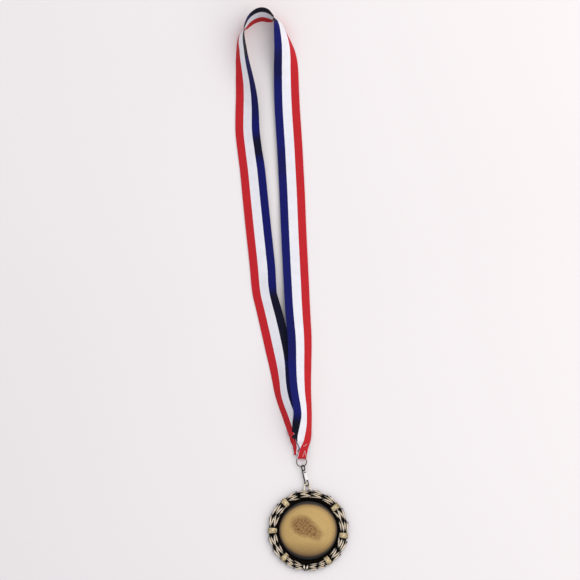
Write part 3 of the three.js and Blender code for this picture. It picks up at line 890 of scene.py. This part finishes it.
# %% Bands
def band_shape():
    bpy.ops.object.select_all(action="DESELECT")
    bpy.ops.mesh.primitive_cube_add(size=2)
    band = bpy.context.object
    band.name = "band"
    bpy.ops.object.mode_set(mode="EDIT")
    for place in (-0.42, -0.22, 0.22, 0.42):
        bpy.ops.mesh.select_all(action="SELECT")
        bpy.ops.mesh.bisect(plane_co=(place, 0, 0), plane_no=(1, 0, 0))
    for place in (-0.6, -0.2, 0.2, 0.6):
        bpy.ops.mesh.select_all(action="SELECT")
        bpy.ops.mesh.bisect(plane_co=(0, place, 0), plane_no=(0, 1, 0))
    select_faces(lambda face: face.normal.z > 0.9 and 0.22 < abs(face.center.x) < 0.42)
    bpy.ops.transform.translate(value=(0, 0, -0.45))
    select_faces(lambda face: face.normal.z > 0.9 and abs(face.center.x) < 0.22
                 and abs(face.center.y) < 0.2)
    bpy.ops.mesh.inset(thickness=0.03)
    bpy.ops.transform.translate(value=(0, 0, 0.3))
    bpy.ops.object.mode_set(mode="OBJECT")
    round_off = band.modifiers.new("round_off", "BEVEL")
    round_off.width, round_off.segments = 0.12, 2
    bpy.ops.object.modifier_apply(modifier="round_off")
    for vertex in band.data.vertices:
        vertex.co.z *= 1 - 0.55 * vertex.co.x**2 - 0.2 * vertex.co.y**4
    return band


band = band_shape()
bands = [lay_on_rim(band, angle, 31.1, 4.5, 7.7, 1.0, 0, 3.15, BAND) for angle in BAND_ANGLES]
bands += [lay_on_rim(leaf, WREATH_TIE + lean / 6, 32.2, 2.6, 6.5, 0.8, lean, LEAF_BASE, LEAF)
          for lean in (14, -14)]
print(len(bands), "bands of", len(band.data.polygons), "faces")

# %% Bail
BAIL_X, BAIL_TOP, BAIL_WIRE, BAIL_HALF, BAIL_Z = 12.75, -169.1, 0.62, 2.4, 2.1
bend_centre = Vector((BAIL_X, BAIL_TOP - BAIL_HALF, BAIL_Z)) * MM
bend_start = Vector((BAIL_X + BAIL_HALF, BAIL_TOP - BAIL_HALF, BAIL_Z)) * MM
bpy.ops.object.select_all(action="DESELECT")
bpy.ops.mesh.primitive_circle_add(vertices=20, radius=BAIL_WIRE * MM, location=bend_start,
                                  rotation=(math.pi / 2, 0, 0), fill_type="NGON")
bail = bpy.context.object
bail.name = "bail"
bpy.ops.object.transform_apply(location=True, rotation=True, scale=True)
bpy.ops.object.mode_set(mode="EDIT")
bpy.ops.mesh.select_all(action="SELECT")
leg = (BAIL_TOP - BAIL_HALF) * MM - (MEDAL_CENTRE.y + MEDAL_RADIUS - 1.2 * MM)
bpy.ops.mesh.spin(steps=24, angle=math.pi, center=bend_centre, axis=(0, 0, -1))
bpy.ops.object.mode_set(mode="OBJECT")
print("bail points", len(bail.data.vertices), "leg", round(leg / MM, 2), "mm")
for end in (1, -1):
    select_faces(lambda face: abs(face.normal.y) > 0.95 and len(face.vertices) > 10
                 and (face.center.x - BAIL_X * MM) * end > 0)
    bpy.ops.mesh.extrude_region_move(TRANSFORM_OT_translate={"value": (0, -leg, 0)})
bpy.ops.object.mode_set(mode="OBJECT")
for material in plate.data.materials:
    bail.data.materials.append(material)
for face in bail.data.polygons:
    face.material_index = BAIL

# %% Join the casting
def tidy_normals(piece):
    bpy.ops.object.select_all(action="DESELECT")
    piece.select_set(True)
    bpy.context.view_layer.objects.active = piece
    bpy.ops.object.mode_set(mode="EDIT")
    bpy.ops.mesh.select_all(action="SELECT")
    bpy.ops.mesh.remove_doubles(threshold=1e-7)
    bpy.ops.mesh.normals_make_consistent(inside=False)
    bpy.ops.object.mode_set(mode="OBJECT")


for master in (leaf, band):
    bpy.data.objects.remove(master)
for part in (plate, bail, *leaves, *bands):
    tidy_normals(part)
bpy.ops.object.select_all(action="DESELECT")
for part in (plate, bail, *leaves, *bands):
    part.select_set(True)
bpy.context.view_layer.objects.active = plate
bpy.ops.object.join()
medallion = bpy.context.object
bpy.ops.object.transform_apply(location=True, rotation=True, scale=True)
bpy.ops.object.shade_smooth_by_angle(angle=math.radians(40))
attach(medallion, "medallion")
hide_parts("medallion_casting")
print("medallion triangles about", 2 * len(medallion.data.polygons))

# %% [markdown]
# ## Nickel with painted shade and painted reflection
# The hook, its spring tongue and the ring keep their CAD shapes. The ring is dull nickel.
# The hook and its rivet are painted near black for the shade they lie in, and the tongue
# near white for the light it mirrors: painted shade and painted reflection. The ring and the hook
# are
# dull nickel, and the tongue is bright spring steel.

# %% Nickel finishes
def plated(name, dark, light, roughness):
    material, tree, shader = finish_tree(name, metallic=1.0, roughness=roughness)
    place = add(tree, "TexCoord").outputs["Object"]
    cloud = brushed(tree, place, 500.0)
    tree.links.new(ramp(tree, cloud, [(0.3, dark), (0.7, light)]), shader.inputs["Base Color"])
    scuffed = add(tree, "MapRange", {"Value": cloud, "To Min": roughness * 0.8,
                                     "To Max": roughness * 1.3}).outputs["Result"]
    tree.links.new(scuffed, shader.inputs["Roughness"])
    return material


ring_nickel = plated("dull_ring_nickel", srgb(62, 54, 50), srgb(128, 118, 110), 0.25)
# Painted shade: the hook and its rivet are near black for the shade they lie in.
hook_nickel_painted_shade = plated("nickel_painted_shade", srgb(26, 22, 20), srgb(92, 84, 76), 0.3)
# Painted reflection: the tongue is near white for the light it mirrors.
tongue_painted_reflection = plated("steel_painted_reflection", srgb(232, 230, 226), srgb(248, 247, 245), 0.35)


def refinish(node, material):
    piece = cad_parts[node]
    for slot in piece.material_slots:
        slot.material = material
    print(node, "now", material.name)


refinish("split_ring", ring_nickel)
refinish("snap_hook", hook_nickel_painted_shade)
refinish("hook_tongue", tongue_painted_reflection)
refinish("tongue_rivet", hook_nickel_painted_shade)

# %% [markdown]
# ## Stitches
# Two bar tacks hold the folded end: short rows of thread laid across the cloth.

# %% Bar tacks
thread, tree, shader = finish_tree("tack_thread", roughness=0.6, sheen_weight=0.2)
place = add(tree, "TexCoord").outputs["Object"]
twist = add(tree, "TexWave", {"Vector": place, "Scale": 900.0, "Distortion": 1.0}).outputs["Fac"]
tree.links.new(ramp(tree, twist, [(0.0, srgb(206, 140, 140)), (1.0, srgb(238, 198, 196))]),
               shader.inputs["Base Color"])


def stitch_shape():
    bpy.ops.object.select_all(action="DESELECT")
    bpy.ops.mesh.primitive_uv_sphere_add(segments=8, ring_count=6, radius=1)
    stitch = bpy.context.object
    bpy.ops.object.mode_set(mode="EDIT")
    bpy.ops.mesh.select_all(action="SELECT")
    bpy.ops.transform.rotate(value=math.pi / 2, orient_axis="Y", center_override=(0, 0, 0))
    bpy.ops.object.mode_set(mode="OBJECT")
    return stitch


def lay_stitches(name, node, runs, width):
    """Runs are (x1, y1, x2, y2, count, height): stitches end to end along each line."""
    low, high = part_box(node)
    master = stitch_shape()
    made = []
    for x1, y1, x2, y2, count, height in runs:
        run = Vector((x2 - x1, y2 - y1, 0))
        turn = Matrix.Rotation(math.atan2(run.y, run.x), 4, "Z")
        size = Matrix.Diagonal((run.length / count * 0.56, width, 0.16, 1))
        for k in range(count):
            place = Vector((x1, y1, height)) + run * ((k + 0.5) / count)
            copy = bpy.data.objects.new(name, master.data.copy())
            bpy.context.scene.collection.objects.link(copy)
            copy.data.transform(Matrix.Scale(MM, 4) @ Matrix.Translation(place) @ turn @ size)
            made.append(copy)
    bpy.data.objects.remove(master)
    bpy.ops.object.select_all(action="DESELECT")
    for copy in made:
        copy.select_set(True)
    bpy.context.view_layer.objects.active = made[0]
    bpy.ops.object.join()
    tack = bpy.context.object
    tack.name = name
    bpy.ops.object.shade_smooth()
    tack.data.materials.append(thread)
    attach(tack, "ribbon")
    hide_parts(node)
    print(name, len(made), "stitches, node box", [round(v / MM, 1) for v in (*low, *high)])
    return tack


lower_tack = lay_stitches("lower_tack", "bar_tack_1", [
    (8.9, -145.2, 10.1, -142.4, 2, 4.72), (10.1, -142.4, 10.9, -139.9, 2, 4.75),
    (11.0, -140.0, 11.4, -142.6, 2, 4.7), (11.4, -142.6, 11.7, -144.8, 2, 4.7),
    (5.3, -144.8, 5.6, -141.6, 3, 4.72),
], 0.24)
upper_tack = lay_stitches("upper_tack", "bar_tack_2", [
    (9.7, -136.3, 10.5, -135.2, 1, 4.7), (10.9, -136.0, 11.7, -134.6, 1, 4.5),
    (11.9, -135.2, 12.7, -133.9, 1, 4.3),
], 0.22)
